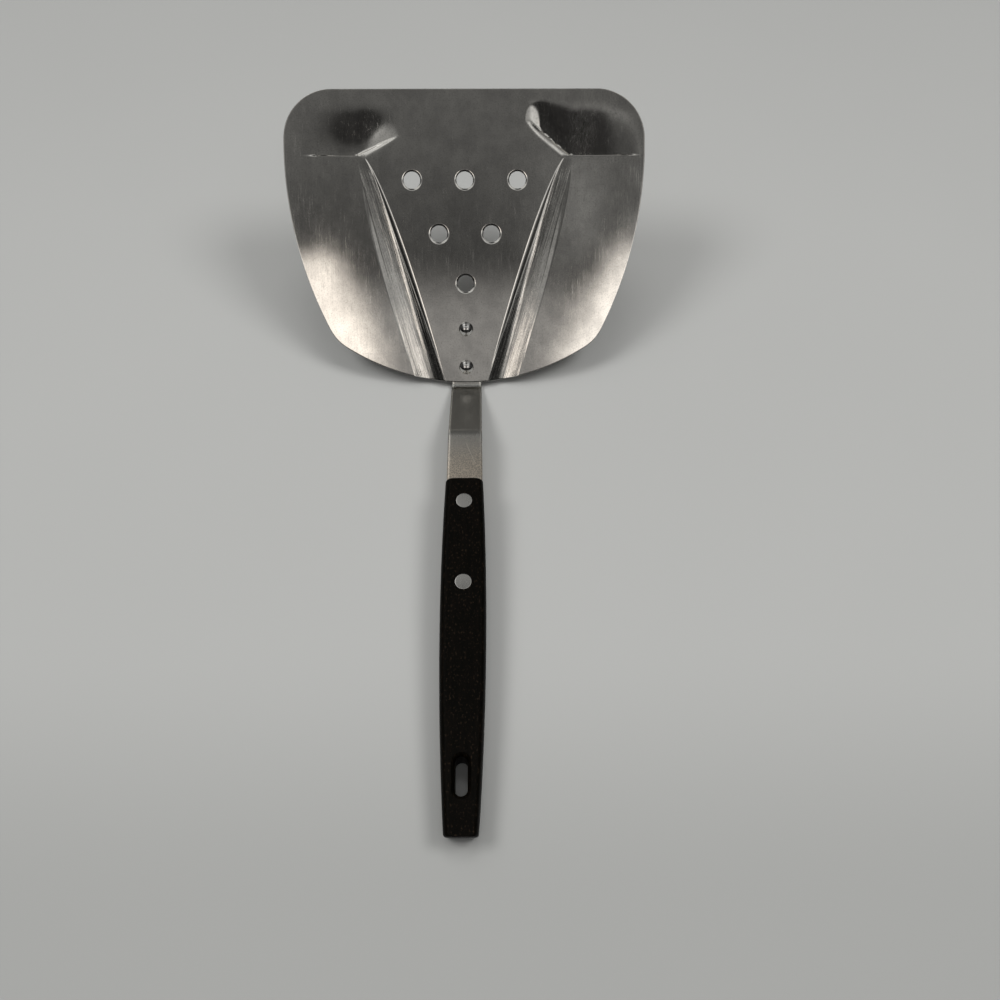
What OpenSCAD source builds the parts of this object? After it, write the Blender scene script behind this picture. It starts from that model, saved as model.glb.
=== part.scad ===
// Perforated turner: a pressed steel blade, a cranked steel shank and a slotted handle.
// Everything is in millimetres, in the pose in which the turner lies on a table.
// +Y runs from the butt of the handle to the front edge of the blade and +Z is up.
// The origin lies on the table, midway between the two ends and on the centre line.
//
// Each piece is drawn in one of two flat frames and then carried into the resting pose:
// the handle frame has its origin on the tang's middle plane at the butt, and
// the blade frame has its origin on the blade's upper face at the middle of its rear edge.

/* [Blade] */
// Length of the blade along the sheet, from its rear edge to its front edge
blade_length = 126.5; // [100:0.5:160]
// Width of the blade at its widest place
blade_width = 158; // [120:0.2:200]
// Thickness of the blade's sheet
blade_thickness = 0.7; // [0.6:0.1:1.5]
// Distance from the rear edge to the widest place
blade_widest_at = 100; // [80:1:115]
// Radius of the long curve along each side of the blade
blade_side_radius = 170; // [140:5:300]
// Radius of the curve along the rear edge
blade_rear_radius = 100; // [80:1:140]
// Radius of each front corner
front_corner_radius = 21; // [12:0.5:28]
// Radius of each rear corner
rear_corner_radius = 20; // [12:0.5:28]
// Angle between the blade and the handle
blade_angle = 38.8; // [15:0.1:50]

/* [Pressed flutes] */
// Width of each flute where it runs out of the rear edge
flute_width = 12.8; // [8:0.2:16]
// Depth of each flute at the rear edge
flute_depth = 2; // [1:0.1:3]
// Distance from the centre line to a flute's middle at the rear edge
flute_rear_offset = 16; // [14:0.2:24]
// Distance from the centre line to a flute's front tip
flute_tip_offset = 45.4; // [35:0.2:55]
// Distance from the rear edge to a flute's front tip
flute_tip_at = 99; // [80:0.5:110]
// Radius of the pressing tool at a flute's front tip
flute_tip_radius = 20; // [12:1:30]

/* [Front hollows] */
// Distance from the centre line to the middle of each shallow front hollow
hollow_offset = 49; // [40:0.5:60]
// Distance from the rear edge to the middle of each hollow
hollow_at = 110.6; // [95:0.5:120]
// Radius of the round edge of each hollow
hollow_edge_radius = 14.8; // [8:0.2:18]
// Depth of each hollow
hollow_depth = 0.9; // [0.4:0.1:1.5]

/* [Drain holes] */
// Diameter of each drain hole
drain_hole_d = 7.8; // [5:0.1:12]
// Distance between neighbouring holes of one row
drain_hole_pitch = 23.2; // [15:0.1:30]
// Distance from the rear edge to the row of one hole
drain_row_one_at = 43.8; // [38:0.2:60]
// Distance from the rear edge to the row of two holes
drain_row_two_at = 65.4; // [60:0.2:80]
// Distance from the rear edge to the row of three holes
drain_row_three_at = 88.4; // [80:0.2:95]
// Width of the rolled-in edge that the punch leaves around a hole
punch_roll_in = 0.45; // [0.2:0.05:0.6]

/* [Shank] */
// Thickness of the shank's strip
shank_thickness = 2.3; // [1.5:0.1:3]
// Width of the shank where it runs under the blade
shank_width_at_blade = 13.6; // [10:0.1:18]
// Width of the shank at the front end of the handle
shank_width_at_handle = 14.8; // [12:0.1:20]
// Length of the straight part between the handle and the upper bend
neck_length = 26; // [15:0.5:60]
// Length of the steep part between the two bends
drop_length = 38.5; // [25:0.5:60]
// Angle of the steep part below the handle's line
drop_angle = 24.2; // [10:0.1:45]
// Inner radius of the upper bend
upper_bend_radius = 4; // [2:0.5:10]
// Inner radius of the heel bend, next to the blade
heel_bend_radius = 2; // [1:0.5:6]
// Distance between the heel bend and the blade's rear edge
heel_setback = 0.6; // [0:0.1:4]
// Length of the strip that lies under the blade, from the blade's rear edge
lap_length = 31; // [28:0.5:40]
// Corner radius of the strip's end under the blade
lap_corner_radius = 5; // [1:0.5:6]
// Length of the tang inside the handle
tang_length = 62; // [50:1:90]

/* [Blade rivets] */
// Diameter of the domed head of a blade rivet
dome_head_d = 6.4; // [5:0.1:8]
// Height of the domed head above the blade
dome_head_height = 1.7; // [1:0.1:3]
// Diameter of a blade rivet's body
blade_rivet_d = 3.6; // [2.5:0.1:5]
// Thickness of the flat head formed under the shank
formed_head_height = 1.2; // [0.8:0.1:2]
// Distance from the blade's rear edge to the rear rivet
rear_rivet_at = 6.8; // [5:0.1:12]
// Distance from the blade's rear edge to the front rivet
front_rivet_at = 23.8; // [18:0.1:30]

/* [Handle] */
// Length of the handle
handle_length = 140.8; // [110:0.1:180]
// Thickness of the handle
handle_thickness = 12.2; // [10:0.2:18]
// Width of the handle at its widest place
handle_width = 18.2; // [15:0.2:26]
// Distance from the butt to the widest place
handle_widest_at = 85; // [60:1:100]
// Radius of the long curve along each side of the handle
handle_side_radius = 1280; // [900:10:2000]
// Radius of the handle's long edges
handle_edge_radius = 2.6; // [1:0.1:5]
// Corner radius of the handle's front end, seen from above
handle_front_corner_radius = 2; // [1:0.1:4]
// Corner radius of the handle's butt, seen from above
handle_butt_corner_radius = 1.6; // [1:0.1:4]
// Radius of the edges across the handle's two ends
handle_end_edge_radius = 1.8; // [0.5:0.1:3]
// Gap left behind the tang at the bottom of the saw slot
tang_end_gap = 0.5; // [0.2:0.1:2]

/* [Hanging slot] */
// Length of the hanging slot, inside its bevel
hang_slot_length = 14.2; // [10:0.2:25]
// Width of the hanging slot, inside its bevel
hang_slot_width = 5; // [4.4:0.1:8]
// Distance from the butt to the middle of the slot
hang_slot_at = 20.8; // [15:0.2:35]
// Width of the bevel around the slot on both faces
hang_slot_bevel = 0.9; // [0.4:0.1:2]

/* [Handle rivets] */
// Diameter of the flush heads
flush_head_d = 6.5; // [5:0.1:9]
// Depth of each flush head
flush_head_depth = 2.2; // [1.5:0.1:3]
// Outer diameter of the sleeve half
sleeve_d = 4.2; // [3.5:0.1:5.5]
// Diameter of the pin half where it is driven into the sleeve
pin_d = 2.8; // [2:0.1:3.4]
// Distance from the handle's front end to the front rivet
front_handle_rivet_at = 10; // [7:0.1:20]
// Distance between the two handle rivets
handle_rivet_spacing = 35.8; // [25:0.1:45]
// Space left between the pin's end and the head of the sleeve
pin_end_gap = 0.6; // [0.3:0.1:1.5]

/* [Hidden] */
$fn = 96;
// A cut reaches this far past the face that it opens.
overcut = blade_thickness;
// Flats that stand for the curve of one bend in the strip.
bend_steps = 20;

// Shank: the middle line has its upper vertex on the handle's line and its lower one at the heel.
upper_bend_mid_radius = upper_bend_radius + shank_thickness / 2;
heel_bend_mid_radius = heel_bend_radius + shank_thickness / 2;
heel_angle = drop_angle + blade_angle;
upper_tangent = upper_bend_mid_radius * tan(drop_angle / 2);
heel_tangent = heel_bend_mid_radius * tan(heel_angle / 2);
upper_vertex_y = handle_length + neck_length;
heel_vertex = [upper_vertex_y + drop_length * cos(drop_angle), -drop_length * sin(drop_angle)];
heel_centre = heel_vertex
    - heel_tangent * [cos(drop_angle), -sin(drop_angle)]
    + heel_bend_mid_radius * [sin(drop_angle), cos(drop_angle)];
heel_outer_radius = heel_bend_radius + shank_thickness;
blade_origin = heel_vertex
    + (heel_tangent + heel_setback) * [cos(blade_angle), sin(blade_angle)]
    + (shank_thickness / 2 + blade_thickness) * [-sin(blade_angle), cos(blade_angle)];

// Resting pose: the heel bend and the lower edge of the butt both touch the table.
butt_edge_centre = [handle_end_edge_radius, handle_end_edge_radius - handle_thickness / 2];
rest_span = heel_centre - butt_edge_centre;
rest_tilt = asin((heel_outer_radius - handle_end_edge_radius) / norm(rest_span))
    - atan2(rest_span[1], rest_span[0]);
rest_height = handle_end_edge_radius
    - butt_edge_centre[0] * sin(rest_tilt) - butt_edge_centre[1] * cos(rest_tilt);
blade_rest_angle = blade_angle + rest_tilt;
front_reach = blade_origin[0] * cos(rest_tilt) - blade_origin[1] * sin(rest_tilt)
    + blade_length * cos(blade_rest_angle) + blade_thickness * sin(blade_rest_angle);
butt_reach = butt_edge_centre[0] * cos(rest_tilt) + butt_edge_centre[1] * sin(rest_tilt)
    - handle_end_edge_radius;

// Blade: corner circles touch the neighbouring curves from inside.
blade_side_centre = [blade_width / 2 - blade_side_radius, blade_widest_at];
front_corner = [
    blade_side_centre[0] + sqrt(pow(blade_side_radius - front_corner_radius, 2)
        - pow(blade_length - front_corner_radius - blade_widest_at, 2)),
    blade_length - front_corner_radius];
rear_curve_centre = [0, blade_rear_radius];
rear_corner = meet_of_circles(blade_side_centre, blade_side_radius - rear_corner_radius,
    rear_curve_centre, blade_rear_radius - rear_corner_radius);

// Flutes: each is the mark of a round tapered tool that sinks towards the rear edge.
flute_rear_radius = (pow(flute_width / 2, 2) + pow(flute_depth, 2)) / (2 * flute_depth);
flute_rear = [flute_rear_offset, 0, flute_rear_radius - flute_depth];
flute_tip = [flute_tip_offset, flute_tip_at, flute_tip_radius];
flute_run_out_share = 0.1;
hollow_ball_radius = (pow(hollow_edge_radius, 2) + pow(hollow_depth, 2)) / (2 * hollow_depth);
relief_depth = flute_depth * (1 + 2 * flute_run_out_share) + blade_thickness;

// Blade rivets: the dome is a slice of a ball.
dome_ball_radius = (pow(dome_head_d / 2, 2) + pow(dome_head_height, 2)) / (2 * dome_head_height);
joint_thickness = blade_thickness + shank_thickness;

// Handle: corner circles touch the side curves from inside.
handle_side_centre = [handle_width / 2 - handle_side_radius, handle_widest_at];
handle_front_corner = [corner_offset(handle_front_corner_radius,
    handle_length - handle_front_corner_radius), handle_length - handle_front_corner_radius];
handle_butt_corner = [corner_offset(handle_butt_corner_radius, handle_butt_corner_radius),
    handle_butt_corner_radius];
tang_end_y = handle_length - tang_length;
// The handle spans this angle, with room to spare, on its side curve.
handle_arc_span = 2 * atan(handle_length / handle_side_radius);
front_handle_rivet_y = handle_length - front_handle_rivet_at;
rear_handle_rivet_y = front_handle_rivet_y - handle_rivet_spacing;

// Centre offset of a corner circle that touches the handle's side curve from inside.
function corner_offset(r, y) = handle_side_centre[0]
    + sqrt(pow(handle_side_radius - r, 2) - pow(y - handle_widest_at, 2));

// Lower of the two points that lie ra from a and rb from b.
function meet_of_circles(a, ra, b, rb) =
    let (
        gap = norm(b - a),
        along = (ra * ra - rb * rb + gap * gap) / (2 * gap),
        aside = sqrt(ra * ra - along * along),
        dir = (b - a) / gap
    )
    a + along * dir + aside * [dir[1], -dir[0]];

// Point where a circle inside a larger one touches it.
function touch_point(big_centre, big_radius, small_centre) =
    big_centre + big_radius * (small_centre - big_centre) / norm(small_centre - big_centre);

// Where the line through p and q crosses the vertical line at x.
function line_at_x(p, q, x) = [x, p[1] + (x - p[0]) * (q[1] - p[1]) / (q[0] - p[0])];

// Where the line through a and b crosses the line through p and q.
function line_cross(a, b, p, q) =
    let (d = b - a, e = q - p, w = p - a)
    a + d * (w[0] * e[1] - w[1] * e[0]) / (d[0] * e[1] - d[1] * e[0]);

// Points along an arc from one direction to another.
function arc_points(centre, r, from, to) =
    [for (step = [0 : bend_steps])
        let (angle = from + (to - from) * step / bend_steps)
        centre + r * [cos(angle), sin(angle)]];

// Carries the handle frame into the resting pose.
module rest_pose() {
    translate([0, -(front_reach + butt_reach) / 2, rest_height])
        rotate([rest_tilt, 0, 0])
            children();
}

// Carries the blade frame into the resting pose.
module on_blade() {
    rest_pose()
        translate([0, blade_origin[0], blade_origin[1]])
            rotate([blade_angle, 0, 0])
                children();
}

module both_sides() {
    children();
    mirror([1, 0, 0])
        children();
}

// Outline of the blade from above: three long curves and a straight front edge.
module blade_outline() {
    front_start = [front_corner[0], blade_length];
    front_end = touch_point(blade_side_centre, blade_side_radius, front_corner);
    rear_start = touch_point(blade_side_centre, blade_side_radius, rear_corner);
    rear_end = touch_point(rear_curve_centre, blade_rear_radius, rear_corner);
    side_tip = line_cross(front_start, front_end, rear_end, rear_start);
    intersection() {
        translate([-blade_width / 2, 0])
            square([blade_width, blade_length]);
        translate(rear_curve_centre)
            circle(r = blade_rear_radius, $fn = 4 * $fn);
        translate(blade_side_centre)
            circle(r = blade_side_radius, $fn = 8 * $fn);
        mirror([1, 0])
            translate(blade_side_centre)
                circle(r = blade_side_radius, $fn = 8 * $fn);
        polygon([
            line_at_x(front_start, front_end, 0),
            side_tip,
            line_at_x(rear_end, rear_start, 0),
            [-side_tip[0], side_tip[1]]
        ]);
    }
    both_sides() {
        translate(front_corner)
            circle(r = front_corner_radius);
        translate(rear_corner)
            circle(r = rear_corner_radius);
    }
}

// The tool that presses one flute: a long cone that rises out of the sheet at its tip.
module flute_tool() {
    run = flute_tip - flute_rear;
    start = flute_rear - flute_run_out_share * run;
    start_radius = flute_rear_radius - flute_run_out_share * (flute_tip_radius - flute_rear_radius);
    length = (1 + flute_run_out_share) * norm(run);
    translate(start)
        rotate([0, acos(run[2] / norm(run)), atan2(run[1], run[0])])
            cylinder(h = length, r1 = start_radius, r2 = flute_tip_radius);
}

// All that is pressed down from the blade's upper face.
module pressed_relief() {
    both_sides() {
        flute_tool();
        translate([hollow_offset, hollow_at, hollow_ball_radius - hollow_depth])
            sphere(r = hollow_ball_radius, $fn = 4 * $fn);
    }
}

// Six holes in rows of one, two and three, and their rolled-in upper edges.
module drain_holes() {
    rows = [drain_row_one_at, drain_row_two_at, drain_row_three_at];
    for (row = [0 : len(rows) - 1])
        for (hole = [0 : row])
            translate([(hole - row / 2) * drain_hole_pitch, rows[row], 0]) {
                translate([0, 0, -blade_thickness - overcut])
                    cylinder(h = blade_thickness + 2 * overcut, d = drain_hole_d);
                translate([0, 0, -punch_roll_in])
                    cylinder(h = 2 * punch_roll_in, d1 = drain_hole_d,
                        d2 = drain_hole_d + 4 * punch_roll_in);
            }
}

module blade_rivet_bores() {
    for (y = [rear_rivet_at, front_rivet_at])
        translate([0, y, -joint_thickness - overcut])
            cylinder(h = joint_thickness + 2 * overcut, d = blade_rivet_d);
}

module blade() {
    color([0.74, 0.73, 0.7])
        on_blade()
            difference() {
                union() {
                    translate([0, 0, -blade_thickness])
                        linear_extrude(height = blade_thickness)
                            blade_outline();
                    intersection() {
                        translate([0, 0, -blade_thickness])
                            pressed_relief();
                        translate([0, 0, -relief_depth])
                            linear_extrude(height = relief_depth)
                                blade_outline();
                    }
                }
                pressed_relief();
                drain_holes();
                blade_rivet_bores();
            }
}

// A solid rivet: a domed head on the blade and a flat head formed under the shank.
module blade_rivet(y) {
    color([0.66, 0.65, 0.63])
        on_blade()
            translate([0, y, 0]) {
                intersection() {
                    translate([0, 0, dome_head_height - dome_ball_radius])
                        sphere(r = dome_ball_radius);
                    cylinder(h = dome_head_height, d = dome_head_d);
                }
                translate([0, 0, -joint_thickness])
                    cylinder(h = joint_thickness, d = blade_rivet_d);
                translate([0, 0, -joint_thickness - formed_head_height])
                    cylinder(h = formed_head_height, d1 = blade_rivet_d + formed_head_height,
                        d2 = dome_head_d);
            }
}

module blade_rivet_front() {
    blade_rivet(front_rivet_at);
}

module blade_rivet_rear() {
    blade_rivet(rear_rivet_at);
}

// Side view of the strip in one outline: x is along the handle, y is up.
module shank_side_view() {
    half = shank_thickness / 2;
    upper_centre = [upper_vertex_y - upper_tangent, -upper_bend_mid_radius];
    lap_direction = [cos(blade_angle), sin(blade_angle)];
    lap_up = [-sin(blade_angle), cos(blade_angle)];
    lap_end = blade_origin + (lap_length + overcut) * lap_direction - blade_thickness * lap_up;
    polygon(concat(
        [[tang_end_y, half]],
        arc_points(upper_centre, upper_bend_mid_radius + half, 90, 90 - drop_angle),
        arc_points(heel_centre, heel_bend_mid_radius - half, -90 - drop_angle, blade_angle - 90),
        [lap_end, lap_end - shank_thickness * lap_up],
        arc_points(heel_centre, heel_bend_mid_radius + half, blade_angle - 90, -90 - drop_angle),
        arc_points(upper_centre, upper_bend_mid_radius - half, 90 - drop_angle, 90),
        [[tang_end_y, -half]]
    ));
}

// Top view of the strip: it widens towards the handle, and the tang goes on at that width.
module shank_top_view() {
    polygon([
        [-shank_width_at_handle / 2, tang_end_y],
        [shank_width_at_handle / 2, tang_end_y],
        [shank_width_at_handle / 2, handle_length],
        [shank_width_at_blade / 2, heel_centre[0]],
        [shank_width_at_blade / 2, front_reach],
        [-shank_width_at_blade / 2, front_reach],
        [-shank_width_at_blade / 2, heel_centre[0]],
        [-shank_width_at_handle / 2, handle_length]
    ]);
}

// What is cut off the end of the strip under the blade to round its corners.
module lap_end_cut() {
    corner_x = shank_width_at_blade / 2 - lap_corner_radius;
    corner_y = lap_length - lap_corner_radius;
    translate([0, 0, -joint_thickness - overcut])
        linear_extrude(height = shank_thickness + 2 * overcut)
            difference() {
                translate([-shank_width_at_blade, corner_y])
                    square([2 * shank_width_at_blade, 2 * lap_corner_radius]);
                translate([-corner_x, corner_y - overcut])
                    square([2 * corner_x, lap_corner_radius + overcut]);
                both_sides()
                    translate([corner_x, corner_y])
                        circle(r = lap_corner_radius);
            }
}

module shank() {
    color([0.6, 0.58, 0.54])
        difference() {
            rest_pose()
                intersection() {
                    rotate([90, 0, 90])
                        linear_extrude(height = handle_width, center = true)
                            shank_side_view();
                    translate([0, 0, -front_reach / 2])
                        linear_extrude(height = front_reach)
                            shank_top_view();
                }
            on_blade() {
                lap_end_cut();
                blade_rivet_bores();
            }
            rest_pose()
                handle_rivet_bores();
        }
}

module at_handle_rivet(y) {
    translate([0, y, 0])
        children();
}

module handle_rivet_bores() {
    for (y = [front_handle_rivet_y, rear_handle_rivet_y])
        at_handle_rivet(y)
            cylinder(h = handle_thickness + 2 * overcut, d = sleeve_d, center = true);
}

module flush_head_seats() {
    for (y = [front_handle_rivet_y, rear_handle_rivet_y], side = [0, 1])
        at_handle_rivet(y)
            mirror([0, 0, side])
                translate([0, 0, handle_thickness / 2 - flush_head_depth])
                    cylinder(h = flush_head_depth + overcut, d = flush_head_d);
}

// One side of the handle with its two long edges rounded, bent to the side curve.
module handle_side_bar() {
    depth = handle_width + overcut;
    edge_z = handle_thickness / 2 - handle_edge_radius;
    translate([handle_side_centre[0], handle_widest_at, 0])
        rotate(-handle_arc_span)
            rotate_extrude(angle = 2 * handle_arc_span, $fn = 16 * $fn) {
                translate([handle_side_radius - depth, -handle_thickness / 2])
                    square([depth - handle_edge_radius, handle_thickness]);
                translate([handle_side_radius - depth, -edge_z])
                    square([depth, 2 * edge_z]);
                for (side = [-1, 1])
                    translate([handle_side_radius - handle_edge_radius, side * edge_z])
                        circle(r = handle_edge_radius, $fn = $fn / 16);
            }
}

// Side view of the handle: its ends have rounded edges.
module handle_side_view() {
    r = handle_end_edge_radius;
    translate([0, r - handle_thickness / 2])
        square([handle_length, handle_thickness - 2 * r]);
    translate([r, -handle_thickness / 2])
        square([handle_length - 2 * r, handle_thickness]);
    for (y = [r, handle_length - r], z = [-1, 1])
        translate([y, z * (handle_thickness / 2 - r)])
            circle(r = r);
}

// Top view of the handle's ends: four round corners that touch the side curves.
module handle_top_view() {
    front_start = [handle_front_corner[0], handle_length];
    front_end = touch_point(handle_side_centre, handle_side_radius, handle_front_corner);
    butt_start = [handle_butt_corner[0], 0];
    butt_end = touch_point(handle_side_centre, handle_side_radius, handle_butt_corner);
    side_tip = line_cross(front_start, front_end, butt_start, butt_end);
    intersection() {
        translate([-handle_width, 0])
            square([2 * handle_width, handle_length]);
        polygon([
            line_at_x(front_start, front_end, 0),
            side_tip,
            line_at_x(butt_start, butt_end, 0),
            [-side_tip[0], side_tip[1]]
        ]);
    }
    both_sides() {
        translate(handle_front_corner)
            circle(r = handle_front_corner_radius);
        translate(handle_butt_corner)
            circle(r = handle_butt_corner_radius);
    }
}

// The hanging slot with a bevel on the upper and the lower face.
module hang_slot() {
    centre_gap = hang_slot_length - hang_slot_width;
    bevel_half = hang_slot_width / 2 + 2 * hang_slot_bevel;
    translate([0, hang_slot_at, 0]) {
        cube([hang_slot_width, centre_gap, handle_thickness + 2 * overcut], center = true);
        for (end = [-1, 1])
            translate([0, end * centre_gap / 2, 0])
                cylinder(h = handle_thickness + 2 * overcut, d = hang_slot_width, center = true);
        for (side = [0, 1])
            mirror([0, 0, side])
                translate([0, 0, handle_thickness / 2 - hang_slot_bevel]) {
                    for (end = [-1, 1])
                        translate([0, end * centre_gap / 2, 0])
                            cylinder(h = 2 * hang_slot_bevel, d1 = hang_slot_width,
                                r2 = bevel_half);
                    rotate([90, 0, 0])
                        linear_extrude(height = centre_gap, center = true)
                            polygon([
                                [-hang_slot_width / 2, 0],
                                [hang_slot_width / 2, 0],
                                [bevel_half, 2 * hang_slot_bevel],
                                [-bevel_half, 2 * hang_slot_bevel]
                            ]);
                }
    }
}

module handle() {
    color([0.07, 0.06, 0.05])
        rest_pose()
            difference() {
                intersection() {
                    handle_side_bar();
                    mirror([1, 0, 0])
                        handle_side_bar();
                    rotate([90, 0, 90])
                        linear_extrude(height = 2 * handle_width, center = true)
                            handle_side_view();
                    linear_extrude(height = 2 * handle_thickness, center = true)
                        handle_top_view();
                }
                translate([-handle_width, tang_end_y - tang_end_gap, -shank_thickness / 2])
                    cube([2 * handle_width, tang_length + tang_end_gap + overcut,
                        shank_thickness]);
                hang_slot();
                handle_rivet_bores();
                flush_head_seats();
            }
}

// The upper half of a handle rivet: a flush head and a pin.
module handle_pin(y) {
    head_z = handle_thickness / 2 - flush_head_depth;
    pin_end_z = flush_head_depth + pin_end_gap - handle_thickness / 2;
    color([0.7, 0.69, 0.66])
        rest_pose()
            at_handle_rivet(y) {
                translate([0, 0, head_z])
                    cylinder(h = flush_head_depth, d = flush_head_d);
                translate([0, 0, pin_end_z])
                    cylinder(h = head_z - pin_end_z, d = pin_d);
            }
}

// The lower half of a handle rivet: a flush head and a sleeve that grips the pin.
module handle_sleeve(y) {
    head_z = handle_thickness / 2 - flush_head_depth;
    color([0.68, 0.67, 0.64])
        rest_pose()
            at_handle_rivet(y)
                difference() {
                    union() {
                        translate([0, 0, -handle_thickness / 2])
                            cylinder(h = flush_head_depth, d = flush_head_d);
                        translate([0, 0, -head_z])
                            cylinder(h = 2 * head_z, d = sleeve_d);
                    }
                    translate([0, 0, -head_z])
                        cylinder(h = 2 * head_z + overcut, d = pin_d);
                }
}

module handle_pin_front() {
    handle_pin(front_handle_rivet_y);
}

module handle_sleeve_front() {
    handle_sleeve(front_handle_rivet_y);
}

module handle_pin_rear() {
    handle_pin(rear_handle_rivet_y);
}

module handle_sleeve_rear() {
    handle_sleeve(rear_handle_rivet_y);
}

blade();
blade_rivet_front();
blade_rivet_rear();
shank();
handle();
handle_pin_front();
handle_sleeve_front();
handle_pin_rear();
handle_sleeve_rear();
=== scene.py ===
import math

import bmesh
import bpy
from bmesh.types import BMEdge, BMFace, BMVert
from mathutils import Matrix, Vector


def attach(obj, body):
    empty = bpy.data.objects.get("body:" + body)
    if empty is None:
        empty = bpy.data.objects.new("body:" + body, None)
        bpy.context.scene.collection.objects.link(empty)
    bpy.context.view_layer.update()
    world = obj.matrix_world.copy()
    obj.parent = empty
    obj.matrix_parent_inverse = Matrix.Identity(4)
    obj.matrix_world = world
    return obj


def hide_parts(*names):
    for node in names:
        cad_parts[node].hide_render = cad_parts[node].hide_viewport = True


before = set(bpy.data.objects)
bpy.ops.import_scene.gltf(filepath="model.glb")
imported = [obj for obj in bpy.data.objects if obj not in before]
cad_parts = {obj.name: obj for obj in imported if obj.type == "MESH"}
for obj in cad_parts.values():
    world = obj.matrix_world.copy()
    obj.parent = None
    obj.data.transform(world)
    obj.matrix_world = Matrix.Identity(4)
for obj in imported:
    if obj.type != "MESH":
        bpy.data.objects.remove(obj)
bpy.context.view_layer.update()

# Sizes in millimetres. The blade's outline and thickness are those of the part's source.
MM = 0.001
blade_length = 126.5
sheet_thickness = 0.7
side_centre = (-91.0, 100.0)
side_radius = 170.0
front_corner = (57.8985, 105.5)
front_corner_radius = 21.0
rear_corner = (42.9615, 32.5144)
rear_corner_radius = 20.0
rear_curve_centre = (0.0, 100.0)
rear_curve_radius = 100.0
blade_edge_round = 0.1
# A hair by which the rounded edge stays inside the outline.
edge_spare = 0.006
# Width of the flat band between the grid's border and the rounded edge.
rim_band = 0.4
# Length of the steps that the outline's arcs are drawn in.
rear_step = 3.0
side_step = 3.4
corner_step = 1.2

# Flutes, from the rear edge to their tips.
flute_rear_offset = 16.0
flute_tip_offset = 45.4
flute_tip_at = 99.0
flute_rear_radius = 11.24
flute_tip_radius = 20.0
flute_depth = 2.0
flute_least_depth = 0.02
flute_wall_slope = 0.37
flute_climb_power = 1.7
# The flute runs slantwise, so this much of a distance across the blade is across the flute.
flute_slant = 0.958
# Shares of the flute's depth over which its floor and its lips turn round.
flute_floor_round = 0.22
flute_lip_round = 0.07

# Hollows beside the front corners, left one first. Distances from the centre line count outward.
# Their shoulder passes the flute's tip here, and climbs forward at this rate towards the middle.
shoulder_at = ((45.5, 95.6, 0.44), (44.6, 95.6, 0.8))
shoulder_bend = 3.0
# The shoulder rounds over a length and drops by a share of the depth, and then the wall falls.
shoulder_round = 3.0
shoulder_drop = 0.2
wall_width = 1.5
# Outside of the flute's tip there is only a short step.
step_width = 0.42
tip_blend = 2.0
# The round shoulder takes at least this share of the wall.
least_turn = 0.001
hollow_depths = (1.5, 1.9)
hollow_ends = (123.0, 124.0)
# Between these distances each hollow begins on its inner side and fades on its outer side.
hollow_spans = (((25.0, 46.0), (49.0, 73.0)), ((26.0, 34.5), (54.0, 80.0)))
# The right ramp's straight line reaches the sheet's level at this share of its length. It turns
# level there, softened by this share of the depth.
ramp_share = 0.84
ramp_blend = 0.19
press_blend = 0.15

# Openings.
drain_hole_radius = 3.66
drain_rows = ((43.8, (0.0,)), (65.4, (-11.6, 11.6)), (88.4, (-23.2, 0.0, 23.2)))
roll_width = 0.9
roll_slopes = (0.19, 0.5)
roll_crease = 0.04
roll_steps = 7
hole_wall_end = 0.62
hole_flare = 0.08
blade_rivets_at = (6.8, 23.8)
blade_rivet_radius = 1.8
# The ring around an opening, and how far the grid stays away from it.
ring_beyond_hole = 1.32
drain_margin = 1.0
rivet_margin = 0.7

# The sheet's grid: columns from the middle to the side follow the flute, rows crowd at the hollows.
column_spans = (40, 6, 10, 8, 5, 42)
row_spans = ((-1.0, 95.0, 112), (95.0, 127.5, 88))
grid_half = 84.0
flute_margin = 1.5
# The narrower columns end this share of the flute's half width short of its middle.
flute_split = 0.1
tip_spread = 6.0
tip_spread_over = (95.0, 106.0)
# Points closer than these count as one: in a cut, along the cut rim, across the mirror, at the
# middle seam, in the whole sheet and at a turned piece's poles.
cut_merge = 0.0001
rim_merge = 0.12
mirror_merge = 0.001
seam_merge = 0.01
sheet_merge = 0.003
pole_merge = 0.001

# Edges that turn by more than this many degrees stay sharp, on the blade and on the other pieces.
blade_sharp_angle = 38
sharp_angle = 35

# Places of the blade's and the handle's own frames in the resting pose.
blade_place = Matrix.Translation((0, 0.0542566, 0.0037299)) @ Matrix.Rotation(
    math.radians(41.7593), 4, "X"
)
handle_place = Matrix.Translation((0, -0.1488609, 0.0060013)) @ Matrix.Rotation(
    math.radians(2.9593), 4, "X"
)


# Shape helpers


def arc(centre, radius, start, end, step):
    """Points on an arc, in degrees, about one step of length apart."""
    count = max(2, int(abs(math.radians(end - start)) * radius / step))
    turn = [math.radians(start + (end - start) * k / count) for k in range(count + 1)]
    return [(centre[0] + radius * math.cos(a), centre[1] + radius * math.sin(a)) for a in turn]


def bearing(start, end):
    return math.degrees(math.atan2(end[1] - start[1], end[0] - start[0]))


def smooth_min(a, b, blend):
    near = max(blend - abs(a - b), 0.0) / blend
    return min(a, b) - near * near * blend / 4


def soft_step(low, high, x):
    t = min(max((x - low) / (high - low), 0.0), 1.0)
    return t * t * (3 - 2 * t)


def everything(bm):
    return bm.verts[:] + bm.edges[:] + bm.faces[:]


def only(kind, geometry):
    return [g for g in geometry if isinstance(g, kind)]


def face_up(bm):
    """Makes a flat sheet's faces look up."""
    bmesh.ops.recalc_face_normals(bm, faces=bm.faces[:])
    if sum(f.normal.z for f in bm.faces) < 0:
        bmesh.ops.reverse_faces(bm, faces=bm.faces[:])


# Blade


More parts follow.
